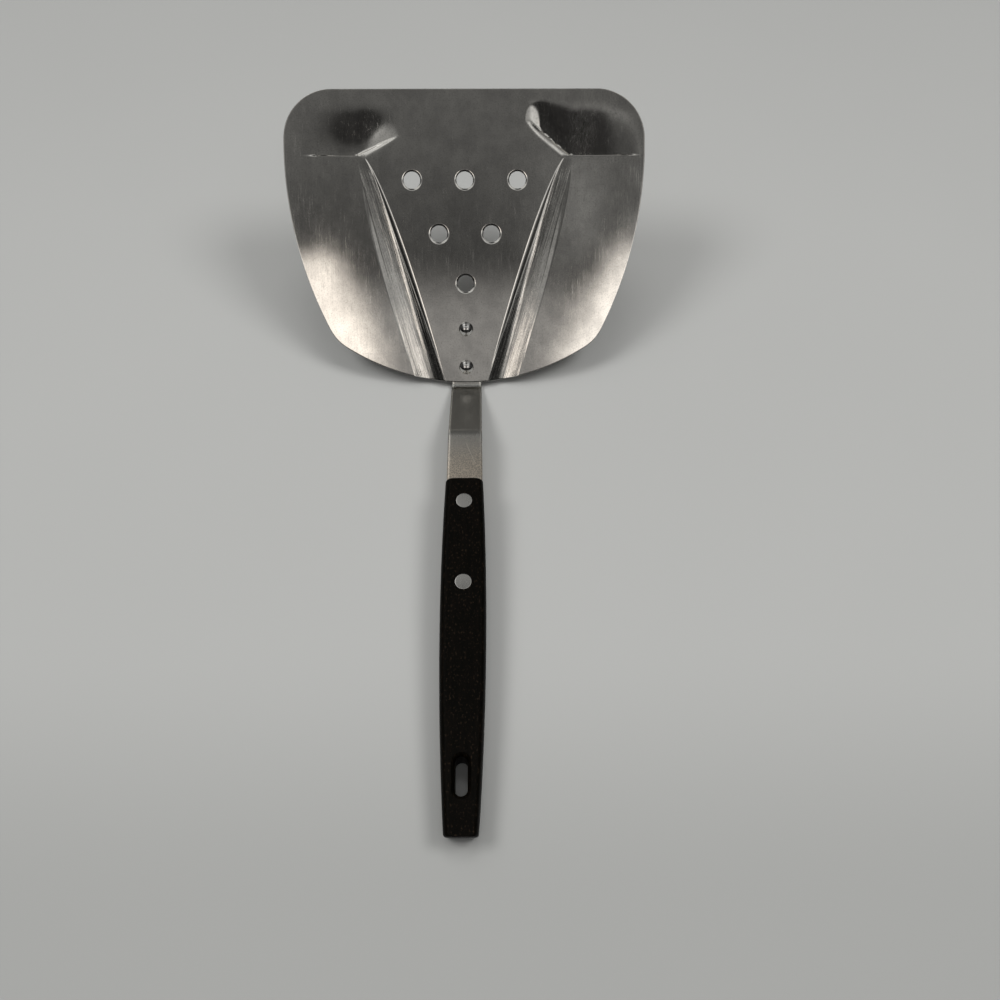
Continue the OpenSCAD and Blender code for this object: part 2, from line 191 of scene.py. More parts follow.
def half_outline():
    """Right half of the blade's outline, from the middle of the rear edge to the front edge."""
    rear_join = bearing(rear_curve_centre, rear_corner)
    side_join = bearing(side_centre, rear_corner)
    front_join = bearing(side_centre, front_corner)
    points = arc(rear_curve_centre, rear_curve_radius, -90, rear_join, rear_step)
    points += arc(rear_corner, rear_corner_radius, rear_join, side_join, corner_step)[1:]
    points += arc(side_centre, side_radius, side_join, front_join, side_step)[1:]
    points += arc(front_corner, front_corner_radius, front_join, 90, corner_step)[1:]
    return points + [(0.0, blade_length)]


def flute_section(y):
    """Middle line, half width and depth of the pressed flute at one distance from the rear edge."""
    share = max(y / flute_tip_at, 0.0)
    middle = flute_rear_offset + share * (flute_tip_offset - flute_rear_offset)
    radius = flute_rear_radius + share * (flute_tip_radius - flute_rear_radius)
    depth = flute_depth * max(1 - share**2, 0.0)
    return middle, math.sqrt(depth * (2 * radius - depth)), depth


def flute_height(x, y):
    """A steep wall on the panel's side, and a gentle one that climbs to the wing."""
    middle, half, depth = flute_section(y)
    if depth <= flute_least_depth:
        return 0.0
    across = (abs(x) - middle) * flute_slant + half
    if across <= 0 or across >= 2 * half:
        return 0.0
    inner_width = depth / flute_wall_slope
    inner = flute_wall_slope * across
    outward = max(across - inner_width, 0.0) / (2 * half - inner_width)
    climb = depth * (1 - outward**flute_climb_power)
    floor = -smooth_min(inner, climb, flute_floor_round * depth)
    lip = flute_lip_round * depth
    return smooth_min(0.0, floor, lip) + lip / 4


def hollow_height(x, y):
    """The hollows beside the front corners: a short wall at the flute's tip, a long ramp beyond it."""
    side, out = (0, -x) if x < 0 else (1, x)
    tip_x, tip_y, climb = shoulder_at[side]
    outside = soft_step(tip_x - tip_blend, tip_x + tip_blend, out)
    rounded = shoulder_round * (1 - outside)
    wall = rounded + wall_width + (step_width - wall_width) * outside
    start = tip_y - climb * smooth_min(out - tip_x, 0.0, shoulder_bend) + shoulder_round * outside
    run = y - start
    if run <= 0 or y >= hollow_ends[side]:
        return 0.0
    (begins, full), (fades, gone) = hollow_spans[side]
    depth = hollow_depths[side] * soft_step(begins, full, out) * (1 - soft_step(fades, gone, out))
    if run < wall:
        return -depth * wall_fall(run / wall, rounded / wall, shoulder_drop * (1 - outside))
    share = (run - wall) / (hollow_ends[side] - start - wall)
    if side == 0:
        return -depth * (1 + math.cos(math.pi * share)) / 2
    return depth * smooth_min(share / ramp_share - 1, 0.0, ramp_blend)


def wall_fall(share, turn, drop):
    """How much of the depth is reached at a share of the wall, whose round shoulder ends at turn."""
    turn = max(turn, least_turn)
    slope = 2 * drop / turn
    if share <= turn:
        return drop * (share / turn) ** 2
    past = share - turn
    rest = 1 - drop - slope * (1 - turn)
    return drop + slope * past + rest * (past / (1 - turn)) ** 2


def pressed_height(x, y):
    return smooth_min(flute_height(x, y), hollow_height(x, y), press_blend) + press_blend / 4


def column_places(y):
    middle, half = flute_section(y)[:2]
    half = max(half / flute_slant, flute_margin) + tip_spread * soft_step(*tip_spread_over, y)
    marks = (
        0.0,
        middle - half - flute_margin,
        middle - half,
        middle - flute_split * half,
        middle + half,
        middle + half + flute_margin,
        grid_half,
    )
    return divided(zip(marks, marks[1:], column_spans))


def row_places():
    return divided(row_spans)


def divided(spans):
    """Places along a row of spans, each given as its start, its end and its number of steps."""
    places = []
    for start, end, count in spans:
        places = places or [start]
        places += [start + (end - start) * (k + 1) / count for k in range(count)]
    return places


def panel_half(y):
    """Half width of the plain middle part of the grid, where the openings are."""
    return column_places(y)[column_spans[0]]


def sheet_grid(bm):
    """A flat grid over the blade's right half."""
    columns, rows = sum(column_spans), row_places()
    bmesh.ops.create_grid(
        bm,
        x_segments=columns,
        y_segments=len(rows) - 1,
        size=0.5,
        matrix=Matrix.Translation((0.5, 0.5, 0)),
    )
    for v in bm.verts:
        y = rows[round(v.co.y * (len(rows) - 1))]
        v.co = (column_places(y)[round(v.co.x * columns)], y, 0)


def cut_outline(bm):
    """Cuts the grid a little inside its outline and mirrors it. The rounded edge makes up the rest."""
    outline = half_outline()
    for start, end in zip(outline, outline[1:]):
        across = Vector((end[1] - start[1], start[0] - end[0], 0)).normalized()
        bmesh.ops.bisect_plane(
            bm,
            geom=everything(bm),
            dist=cut_merge,
            plane_co=Vector((*start, 0)) - (blade_edge_round + rim_band) * across,
            plane_no=across,
            clear_outer=True,
        )
    rim = [v for v in bm.verts if v.is_boundary and v.co.x > seam_merge]
    bmesh.ops.remove_doubles(bm, verts=rim, dist=rim_merge)
    bmesh.ops.mirror(bm, geom=everything(bm), axis="X", merge_dist=mirror_merge)
    seam = [v for v in bm.verts if abs(v.co.x) < seam_merge]
    bmesh.ops.remove_doubles(bm, verts=seam, dist=seam_merge)
    face_up(bm)


def round_opening(bm, border, x, y, radius):
    """A band of faces from a squarish opening in the grid to a round one."""
    made = bmesh.ops.extrude_edge_only(bm, edges=border)["geom"]
    ring = only(BMEdge, made)
    for v in only(BMVert, made):
        side = Vector((v.co.x - x, v.co.y - y, 0)).normalized()
        v.co = Vector((x, y, 0)) + side * radius
    return ring


def open_bores(bm):
    """Opens the sheet for holes and rivets, and gives the openings' places, radii and rings."""
    ring_radius = drain_hole_radius + ring_beyond_hole
    bores = [(x, y, ring_radius, drain_margin) for y, row in drain_rows for x in row]
    bores += [(0.0, y, blade_rivet_radius, rivet_margin) for y in blade_rivets_at]
    rings = []
    for x, y, radius, margin in bores:
        panel, reach = panel_half(y), radius + margin
        gone = []
        for f in bm.faces:
            c = f.calc_center_median()
            if abs(c.x) < panel and abs(c.y - y) < reach:
                if abs(c.x * panel / panel_half(c.y) - x) < reach:
                    gone.append(f)
        inside = set(gone)
        border = [e for e in bm.edges if 0 < len(inside.intersection(e.link_faces)) < len(e.link_faces)]
        bmesh.ops.delete(bm, geom=gone, context="FACES")
        rings.append((x, y, radius, round_opening(bm, border, x, y, radius)))
    face_up(bm)
    return rings


def add_underside(bm):
    """The underside is a copy, turned over, one sheet thickness down."""
    under = bmesh.ops.duplicate(bm, geom=everything(bm))["geom"]
    for v in only(BMVert, under):
        v.co.z = -sheet_thickness
    bmesh.ops.reverse_faces(bm, faces=only(BMFace, under))


def round_edge(bm, loop):
    """The outer edge: a deburred corner above and below."""
    steps = [(rim_band, 0.0)]
    for a in (math.pi / 6, math.pi / 3, math.pi / 2):
        out = rim_band + (blade_edge_round - edge_spare) * math.sin(a)
        steps.append((out, -blade_edge_round * (1 - math.cos(a))))
    steps += [(out, -sheet_thickness - down) for out, down in reversed(steps)]
    steps.append((0.0, -sheet_thickness))
    outward = {}
    for e in loop:
        middle = (e.verts[0].co + e.verts[1].co) / 2
        along = (e.verts[1].co - e.verts[0].co).normalized()
        side = Vector((along.y, -along.x, 0))
        if side.dot(middle - e.link_faces[0].calc_center_median()) < 0:
            side = -side
        for v in e.verts:
            outward[v] = outward.get(v, Vector()) + side
    # Each new point keeps the place and direction of the one that it was drawn from.
    home = {v: (v.co.copy(), side.normalized()) for v, side in outward.items()}
    for out, down in steps:
        made = bmesh.ops.extrude_edge_only(bm, edges=loop)["geom"]
        loop = only(BMEdge, made)
        drawn = {}
        for v in only(BMVert, made):
            for e in v.link_edges:
                if e.other_vert(v) in home:
                    drawn[v] = home[e.other_vert(v)]
        for v, (start, side) in drawn.items():
            v.co = start + side * out
            v.co.z = down
        home = drawn


def drain_hole_steps():
    """Radii and heights down a drain hole: rolled in where the punch entered, straight below."""
    first, last = roll_slopes
    steps = [(drain_hole_radius + roll_width + roll_crease, 0.0)]
    for k in range(roll_steps + 1):
        t = k / roll_steps
        fall = first * t + (last - first) * t * t / 2
        steps.append((drain_hole_radius + roll_width * (1 - t), -roll_width * fall))
    steps.append((drain_hole_radius, -hole_wall_end))
    steps.append((drain_hole_radius + hole_flare, -sheet_thickness))
    return steps


def draw_down(bm, x, y, ring, steps):
    """Draws an opening's ring through its steps of radius and height."""
    for reach, down in steps:
        made = bmesh.ops.extrude_edge_only(bm, edges=ring)["geom"]
        ring = only(BMEdge, made)
        for v in only(BMVert, made):
            side = Vector((v.co.x - x, v.co.y - y, 0)).normalized()
            v.co = Vector((x, y, down)) + side * reach


def blade_sheet():
    """The blade as one closed pressed sheet, in its own frame and in millimetres."""
    bm = bmesh.new()
    sheet_grid(bm)
    cut_outline(bm)
    rings = open_bores(bm)
    in_rings = {e for *_, ring in rings for e in ring}
    edge_loop = [e for e in bm.edges if e.is_boundary and e not in in_rings]
    add_underside(bm)
    round_edge(bm, edge_loop)
    for x, y, radius, ring in rings:
        steps = drain_hole_steps() if radius > drain_hole_radius else []
        draw_down(bm, x, y, ring, steps + [(radius, -sheet_thickness)])
    bmesh.ops.remove_doubles(bm, verts=bm.verts[:], dist=sheet_merge)
    for v in bm.verts:
        v.co.z += pressed_height(v.co.x, v.co.y)
    return bm


# Materials


class Nodes:
    """Short calls for a material's or a world's nodes."""

    def __init__(self, tree):
        self.tree = tree
        tree.nodes.clear()

    def add(self, kind, **settings):
        node = self.tree.nodes.new(kind)
        for key, value in settings.items():
            setattr(node, key, value)
        return node

    def feed(self, socket, value):
        if isinstance(value, bpy.types.NodeSocket):
            self.tree.links.new(value, socket)
        else:
            socket.default_value = value

    def math(self, operation, *values):
        node = self.add("ShaderNodeMath", operation=operation)
        for socket, value in zip(node.inputs, values):
            self.feed(socket, value)
        return node.outputs[0]

    def plus(self, a, b):
        return self.math("ADD", a, b)

    def times(self, a, b):
        return self.math("MULTIPLY", a, b)

    def split(self, vector):
        node = self.add("ShaderNodeSeparateXYZ")
        self.feed(node.inputs[0], vector)
        return node.outputs

    def ramp(self, value, low, high, out_low=0.0, out_high=1.0, smooth=True):
        kind = "SMOOTHSTEP" if smooth else "LINEAR"
        node = self.add("ShaderNodeMapRange", interpolation_type=kind)
        self.feed(node.inputs["Value"], value)
        self.feed(node.inputs["From Min"], low)
        self.feed(node.inputs["From Max"], high)
        self.feed(node.inputs["To Min"], out_low)
        self.feed(node.inputs["To Max"], out_high)
        return node.outputs["Result"]

    def mix(self, share, a, b):
        node = self.add("ShaderNodeMix", data_type="RGBA")
        self.feed(node.inputs["Factor"], share)
        self.feed(node.inputs["A"], a)
        self.feed(node.inputs["B"], b)
        return node.outputs["Result"]

    def noise(self, place, scale, detail=2.0, roughness=0.5):
        node = self.add("ShaderNodeTexNoise")
        self.feed(node.inputs["Vector"], place)
        self.feed(node.inputs["Scale"], scale)
        self.feed(node.inputs["Detail"], detail)
        self.feed(node.inputs["Roughness"], roughness)
        return node.outputs["Fac"]

    def stretched(self, place, scale, turn=(0.0, 0.0, 0.0), shift=(0.0, 0.0, 0.0)):
        node = self.add("ShaderNodeMapping", vector_type="POINT")
        self.feed(node.inputs["Vector"], place)
        node.inputs["Location"].default_value = shift
        node.inputs["Rotation"].default_value = turn
        node.inputs["Scale"].default_value = scale
        return node.outputs["Vector"]

    def shader(self, tint, roughness, **plain):
        """The surface shader; the plain settings are the same all over the piece."""
        node = self.add("ShaderNodeBsdfPrincipled")
        self.feed(node.inputs["Base Color"], tint)
        self.feed(node.inputs["Roughness"], roughness)
        for socket, value in plain.items():
            node.inputs[socket].default_value = value
        return node

    def relief(self, shader, height, distance=1.0):
        bump = self.add("ShaderNodeBump")
        bump.inputs["Strength"].default_value = 1.0
        bump.inputs["Distance"].default_value = distance
        self.feed(bump.inputs["Height"], height)
        self.feed(shader.inputs["Normal"], bump.outputs["Normal"])

    def output(self, kind, surface):
        self.feed(self.add(kind).inputs["Surface"], surface.outputs[0])


def new_material(name):
    material = bpy.data.materials.new(name)
    material.use_nodes = True
    return material, Nodes(material.node_tree)


def own_frame(n, place):
    """Object coordinates carried back into a piece's own frame, in metres."""
    back = place.inverted()
    coordinates = n.add("ShaderNodeTexCoord").outputs["Object"]
    return n.stretched(coordinates, (1, 1, 1), back.to_euler("XYZ"), back.to_translation())


def scratch_shift(x, y, turn):
    """Moves the point at x and y to the origin, for a mapping that turns first."""
    return (
        -(x * math.cos(turn) - y * math.sin(turn)),
        -(x * math.sin(turn) + y * math.cos(turn)),
        0.0,
    )


def slanting_scratch(n, at):
    """One long scratch across the worn neck, from its distances across and along it."""
    slant = math.radians(-20.7)
    centred = n.stretched(at, (1, 1, 1), (0, 0, slant), scratch_shift(0.0023, 0.1565, slant))
    aside, along = (n.math("ABSOLUTE", distance) for distance in n.split(centred)[:2])
    return n.times(n.ramp(aside, 0.00006, 0.00016, 1, 0), n.ramp(along, 0.0045, 0.006, 1, 0))


def brushed_steel(name, place, colour, gloss, brush_depth, worn=None):
    """Satin steel with lengthwise brushing, a little uneven in its gloss.

    Between two distances along the piece, in metres, it turns warm, grainy and worn.
    """
    material, n = new_material(name)
    at = own_frame(n, place)
    fine = n.noise(n.stretched(at, (2600, 40, 2600)), 1.0, 3.0, 0.6)
    broad = n.noise(n.stretched(at, (700, 14, 700)), 1.0, 2.0, 0.5)
    patches = n.noise(at, 38.0, 3.0, 0.55)
    brushing = n.plus(n.times(fine, 0.6), n.times(broad, 0.4))
    dark = tuple(c * 0.94 for c in colour[:3]) + (1.0,)
    tint = n.mix(n.ramp(brushing, 0.35, 0.65), dark, colour)
    uneven = n.plus(n.times(patches, 0.08), n.times(broad, 0.05))
    mean_uneven = 0.065
    height = n.times(brushing, brush_depth)
    if worn is not None:
        wear = n.ramp(n.split(at)[1], *worn)
        specks = n.ramp(n.noise(at, 2300.0, 3.0, 0.7), 0.38, 0.64)
        warm = n.mix(specks, (0.46, 0.4, 0.33, 1), (0.92, 0.81, 0.67, 1))
        tint = n.mix(n.times(wear, 0.85), tint, warm)
        uneven = n.plus(uneven, n.times(wear, 0.1))
        pit_depth = 4e-6
        height = n.plus(height, n.times(n.times(specks, wear), pit_depth))
        tint = n.mix(n.times(slanting_scratch(n, at), 0.6), tint, (1.0, 0.95, 0.85, 1))
    shader = n.shader(tint, n.plus(uneven, gloss - mean_uneven), Metallic=1.0)
    n.relief(shader, height)
    n.output("ShaderNodeOutputMaterial", shader)
    return material


def scuff_marks(n, at):
    """Fine scuffs in layers: turn in degrees, density across and along, threshold and weight."""
    scuffs = 0.0
    for turn, across, along, low, weight in (
        (3.0, 4200.0, 100.0, 0.64, 1.0),
        (-5.0, 3600.0, 80.0, 0.66, 0.9),
        (14.0, 4000.0, 70.0, 0.72, 0.7),
        (-38.0, 3400.0, 40.0, 0.75, 0.8),
        (62.0, 3000.0, 50.0, 0.76, 0.6),
    ):
        turned_at = n.stretched(at, (across, along, across), (0, 0, math.radians(turn)), (turn, 0, 0))
        mark = n.ramp(n.noise(turned_at, 1.0, 1.0, 0.5), low, low + 0.09)
        scuffs = n.math("MAXIMUM", scuffs, n.times(mark, weight))
    return scuffs


def draw_lines(n, at):
    """Lengthwise lines that the press drew in the flutes, fading towards their tips."""
    x, y = (n.times(distance, 1 / MM) for distance in n.split(at)[:2])
    share = n.math("DIVIDE", y, flute_tip_at)
    middle = n.plus(flute_rear_offset, n.times(share, flute_tip_offset - flute_rear_offset))
    aside = n.times(n.math("SUBTRACT", n.math("ABSOLUTE", x), middle), flute_slant)
    # The lines' stripe narrows from the rear to the tip, and has a soft border.
    half = n.ramp(share, 0.0, 1.0, 7.0, 2.6, smooth=False)
    border = n.math("SUBTRACT", half, 0.7)
    inside = n.ramp(n.math("ABSOLUTE", aside), border, half, 1.0, 0.0)
    inside = n.times(inside, n.ramp(share, 0.9, 1.0, 1.0, 0.0))
    flute_at = n.add("ShaderNodeCombineXYZ")
    n.feed(flute_at.inputs[0], n.times(aside, 1.7))
    n.feed(flute_at.inputs[1], n.times(y, 0.012))
    # The two flutes read different parts of the noise.
    n.feed(flute_at.inputs[2], n.ramp(x, -1.0, 1.0, 0.0, 7.0))
    return n.times(n.noise(flute_at.outputs[0], 1.0, 3.0, 0.65), inside)


def pressed_steel(name, place):
    """The blade's steel: brushed lengthwise, scuffed, a little wavy, with draw lines in the flutes."""
    material, n = new_material(name)
    at = own_frame(n, place)
    fine = n.noise(n.stretched(at, (2600, 70, 2600)), 1.0, 3.0, 0.6)
    broad = n.noise(n.stretched(at, (900, 22, 900)), 1.0, 2.0, 0.5)
    grain = n.noise(at, 2200.0, 2.0, 0.6)
    clouds = n.noise(at, 45.0, 4.0, 0.6)
    mottle = n.noise(n.stretched(at, (120, 90, 120)), 1.0, 4.0, 0.65)
    specks = n.noise(at, 1500.0, 2.0, 0.6)
    waves = n.noise(n.stretched(at, (26, 20, 26)), 1.0, 1.5, 0.4)
    scuffs = scuff_marks(n, at)

    bright, dull, speck = (0.71, 0.69, 0.65, 1), (0.52, 0.505, 0.48, 1), (0.3, 0.29, 0.27, 1)
    marred = n.plus(
        n.times(n.ramp(mottle, 0.34, 0.66), 0.6),
        n.times(n.ramp(clouds, 0.35, 0.68), 0.4),
    )
    tint = n.mix(n.ramp(specks, 0.5, 0.68, 0.0, 0.3), n.mix(marred, bright, dull), speck)
    rough = n.plus(n.times(n.ramp(clouds, 0.3, 0.75), 0.06), n.times(broad, 0.05))
    rough = n.plus(n.plus(rough, 0.05), n.times(scuffs, 0.1))
    shader = n.shader(tint, rough, Metallic=1.0)

    # The relief's parts and their heights in metres.
    height = n.times(n.plus(fine, n.times(broad, 0.7)), 1.3e-6)
    for part, size in ((grain, 2.4e-6), (waves, 1.4e-4), (draw_lines(n, at), 9e-5), (scuffs, -5e-7)):
        height = n.plus(height, n.times(part, size))
    n.relief(shader, height)
    n.output("ShaderNodeOutputMaterial", shader)
    return material


def dark_resin(name, place):
    """Near-black moulded resin with faint brown lengthwise grain."""
    material, n = new_material(name)
    at = own_frame(n, place)
    grain = n.noise(n.stretched(at, (900, 120, 900)), 1.0, 4.0, 0.6)
    specks = n.noise(n.stretched(at, (1500, 900, 1500)), 1.0, 2.0, 0.5)
    tint = n.mix(n.ramp(grain, 0.4, 0.7), (0.0009, 0.0008, 0.0004, 1), (0.0022, 0.0015, 0.0009, 1))
    tint = n.mix(n.ramp(specks, 0.57, 0.76), tint, (0.02, 0.013, 0.008, 1))
    dull_gloss = {"Specular IOR Level": 0.08}
    shader = n.shader(tint, n.ramp(grain, 0.2, 0.8, 0.4, 0.55), **dull_gloss)
    n.relief(shader, grain, 0.00003)
    n.output("ShaderNodeOutputMaterial", shader)
    return material


def table_paint_and_shade():
    """Pale paint, and painted shade that darkens it a little towards the viewer."""
    material, n = new_material("table_paint_and_shade")
    at = n.add("ShaderNodeTexCoord").outputs["Object"]
    paint = n.mix(n.noise(at, 5.0, 2.0, 0.5), (0.45, 0.452, 0.445, 1), (0.475, 0.477, 0.47, 1))
    # Painted shade: the table's colour darkens towards the viewer's side.
    painted_near_shade = n.ramp(n.split(at)[1], -0.07, -0.17)
    dull_gloss = {"Specular IOR Level": 0.2}
    shader = n.shader(n.mix(painted_near_shade, paint, (0.388, 0.39, 0.383, 1)), 0.55, **dull_gloss)
    n.output("ShaderNodeOutputMaterial", shader)
    return material


# Making pieces


def give(piece, material):
    piece.data.materials.clear()
    piece.data.materials.append(material)


def order_by_place(bm):
    """Puts points and faces in one order for every run, which extruding alone doesn't give."""
    rank = {v: k for k, v in enumerate(sorted(bm.verts, key=lambda v: v.co[:]))}
    bm.verts.sort(key=rank.get)
    bm.verts.index_update()
    corners = {f: sorted(v.index for v in f.verts) for f in bm.faces}
    rank = {f: k for k, f in enumerate(sorted(bm.faces, key=corners.get))}
    bm.faces.sort(key=rank.get)


def linked(name, bm, place, angle=sharp_angle):
    """The mesh becomes an object in the part's frame, in metres, softly shaded over its curves."""
    bmesh.ops.transform(bm, matrix=place @ Matrix.Diagonal((MM, MM, MM, 1)), verts=bm.verts[:])
    bmesh.ops.recalc_face_normals(bm, faces=bm.faces[:])
    order_by_place(bm)
    mesh = bpy.data.meshes.new(name)
    bm.to_mesh(mesh)
    bm.free()
    mesh.shade_smooth()
    mesh.set_sharp_from_angle(angle=math.radians(angle))
    piece = bpy.data.objects.new(name, mesh)
    bpy.context.scene.collection.objects.link(piece)
    return piece


def stands_for(piece, node, material):
    give(piece, material)
    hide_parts(node)
    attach(piece, "root")


def carve(piece, cutter, angle=sharp_angle):
    """Cuts the cutter out of the piece for good, then shades the result anew."""
    cut = piece.modifiers.new("cut", "BOOLEAN")
    cut.operation = "DIFFERENCE"
    cut.solver = "EXACT"
    cut.object = cutter
    result = piece.evaluated_get(bpy.context.evaluated_depsgraph_get())
    mesh = bpy.data.meshes.new_from_object(result)
    piece.modifiers.clear()
    piece.data = mesh
    bpy.data.objects.remove(cutter)
    mesh.shade_smooth()
    mesh.set_sharp_from_angle(angle=math.radians(angle))
    shading = piece.modifiers.new("even_shading", "WEIGHTED_NORMAL")
    shading.keep_sharp = True
    shading.weight = 80


def turned(bm, profile, y=0.0, steps=48):
    """A round part turned from a profile of radius and height. Finished points carry a tag."""
    points = [bm.verts.new((r, 0, z)) for r, z in profile]
    edges = [bm.edges.new(pair) for pair in zip(points, points[1:])]
    bmesh.ops.spin(
        bm,
        geom=points + edges,
        axis=(0, 0, 1),
        cent=(0, 0, 0),
        angle=math.tau,
        steps=steps,
        use_merge=True,
        use_duplicate=False,
    )
    fresh = [v for v in bm.verts if not v.tag]
    bmesh.ops.remove_doubles(bm, verts=fresh, dist=pole_merge)
    fresh = [v for v in fresh if v.is_valid]
    bmesh.ops.translate(bm, vec=(0, y, 0), verts=fresh)
    for v in fresh:
        v.tag = True


def section_face(bm, half_width, half_height, radius, segments):
    """A face with round corners across the run of a bar: its x is across and its y is up."""
    bmesh.ops.create_grid(
        bm,
        x_segments=1,
        y_segments=1,
        size=1.0,
        matrix=Matrix.Diagonal((half_width, half_height, 1, 1)),
    )
    bmesh.ops.bevel(
        bm,
        geom=bm.verts[:],
        affect="VERTICES",
        offset=radius,
        segments=segments,
        profile=0.5,
        material=-1,
    )
    return bm.faces[:][0]


def drawn_out(bm, face, stations, place):
    """Draws a section face through stations; place(station, across, up) gives each corner's point."""
    home = {v: (v.co.x, v.co.y) for v in face.verts}
    for v, (across, up) in home.items():
        v.co = place(stations[0], across, up)
    for station in stations[1:]:
        made = bmesh.ops.extrude_face_region(bm, geom=[face] + face.edges[:])["geom"]
        face = only(BMFace, made)[0]
        moved = {}
        for v in face.verts:
            old = next(e.other_vert(v) for e in v.link_edges if e.other_vert(v) in home)
            moved[v] = home[old]
            v.co = place(station, *home[old])
        home = moved


def corner_inset(distance, radius):
    """How far a round corner lies inside its side, at a distance from the end."""
    if distance >= radius:
        return 0.0
    return radius - math.sqrt(radius**2 - (radius - distance) ** 2)


# Handle

handle_length = 141.4
handle_half_thickness = 6.1
handle_half_width = 8.87
handle_side_radius = 1280.0
handle_widest_at = 85.0
handle_edge_radius = 2.6
handle_step = 4.56
butt_start = 0.07
# Radii of the end corners: seen from above, at the upper edge and at the lower edge.
end_radius = 1.15
end_radius_above = 0.5
end_radius_below = 2.4
# The butt face leans in by this slope, over this length.
butt_lean = 0.12
butt_lean_over = 12
hang_slot_radius = 2.3
hang_slot_half_run = 4.6
hang_slot_at = 20.8
tang_end = 78.8
tang_end_gap = 0.5
shank_half = 1.15
handle_rivets_at = (130.8, 95.0)
flush_head_radius = 3.25
flush_head_depth = 2.2
sleeve_radius = 2.1
pin_radius = 1.4
head_seat = handle_half_thickness - flush_head_depth


def handle_bar():
    """The handle before anything is cut into it: bowed sides, round edges and round ends."""
    bm = bmesh.new()
    near_end = (0.0, 0.02, 0.07, 0.16, 0.28, 0.44, 0.62, 0.9, 1.3, 2.0)
    stations = [butt_start + t for t in near_end]
    stations += [near_end[-1] + handle_step * k for k in range(1, 30)]
    stations += [handle_length - t for t in reversed(near_end)]

    def place(at, across, up):
        bow = math.sqrt(handle_side_radius**2 - (at - handle_widest_at) ** 2) - handle_side_radius
        end = min(at - butt_start, handle_length - at)
        across = math.copysign(abs(across) + bow - corner_inset(end, end_radius), across)
        lean_in = butt_lean * (handle_half_thickness - up) * max(1 - at / butt_lean_over, 0.0)
        radius = end_radius_above if up > 0 else end_radius_below
        up = math.copysign(abs(up) - corner_inset(end, radius), up)
        return (across, at + lean_in, up)

    face = section_face(bm, handle_half_width, handle_half_thickness, handle_edge_radius, 6)
    drawn_out(bm, face, stations, place)
    return bm


def hanging_slot(bm):
    """The cutter for the hanging slot, which widens in a soft bevel at both faces."""
    # Heights below the middle, and how much wider than its middle the slot is there.
    levels = [(-7.0, 2.1), (-6.3, 1.5), (-6.0, 1.15), (-5.7, 0.72), (-5.3, 0.35), (-4.8, 0.1)]
    levels += [(-4.2, 0.0), (4.2, 0.0)] + [(-z, out) for z, out in reversed(levels)]
    made = bmesh.ops.create_circle(bm, segments=32, radius=hang_slot_radius, cap_ends=True)

    def place(level, across, up):
        z, out = level
        grown = (hang_slot_radius + out) / hang_slot_radius
        y = hang_slot_at + up * grown + math.copysign(hang_slot_half_run, up)
        return (across * grown, y, z)

    # Points on the slot's cross line go with one of its two round ends.
    for v in made["verts"]:
        if abs(v.co.y) < 1e-4:
            v.co.y = 1e-3
    drawn_out(bm, bm.faces[:][0], levels, place)
    for v in bm.verts:
        v.tag = True


def handle_cuts():
    """What is cut out of the handle: hanging slot, tang slot, head seats and rivet bores."""
    bm = bmesh.new()
    hanging_slot(bm)
    # The saw slot that takes the tang is open at the front and at both sides.
    slot_start, slot_end, slot_width = tang_end - tang_end_gap, 150, 30
    middle = Matrix.Translation((0, (slot_start + slot_end) / 2, 0))
    size = Matrix.Diagonal((slot_width, slot_end - slot_start, 2 * shank_half, 1))
    made = bmesh.ops.create_cube(bm, size=1.0, matrix=middle @ size)
    for v in made["verts"]:
        v.tag = True
    beyond = 8
    for y in handle_rivets_at:
        profile = [(0, -beyond), (flush_head_radius, -beyond)]
        profile += [(flush_head_radius, -head_seat), (sleeve_radius, -head_seat)]
        profile += [(r, -z) for r, z in reversed(profile)]
        turned(bm, profile, y)
    return bm


# Shank

shank_edge_width = 1.4
shank_edge_height = 0.4
# Half widths where the strip leaves the handle and at its heel.
neck_half_width = 7.4
lap_half_width = 6.8
neck_drop = math.radians(24.2)
blade_rise = math.radians(38.8)
upper_bend_at = 166.8
upper_bend_radius = 9.0
slope_length = 38.5
heel_radius = 3.15
lap_length = 31.0
lap_corner_radius = 5.0
# A hair of straight strip between the heel bend and the lap.
lap_lead = 0.6


def bent(centre, radius, start, end, count, side):
    """Points and slopes round a bend whose centre lies below (side 1) or above (side -1) the strip."""
    turns = [start + (end - start) * k / count for k in range(count + 1)]
    return [
        ((centre[0] - side * radius * math.sin(a), centre[1] + side * radius * math.cos(a)), a)
        for a in turns
    ]


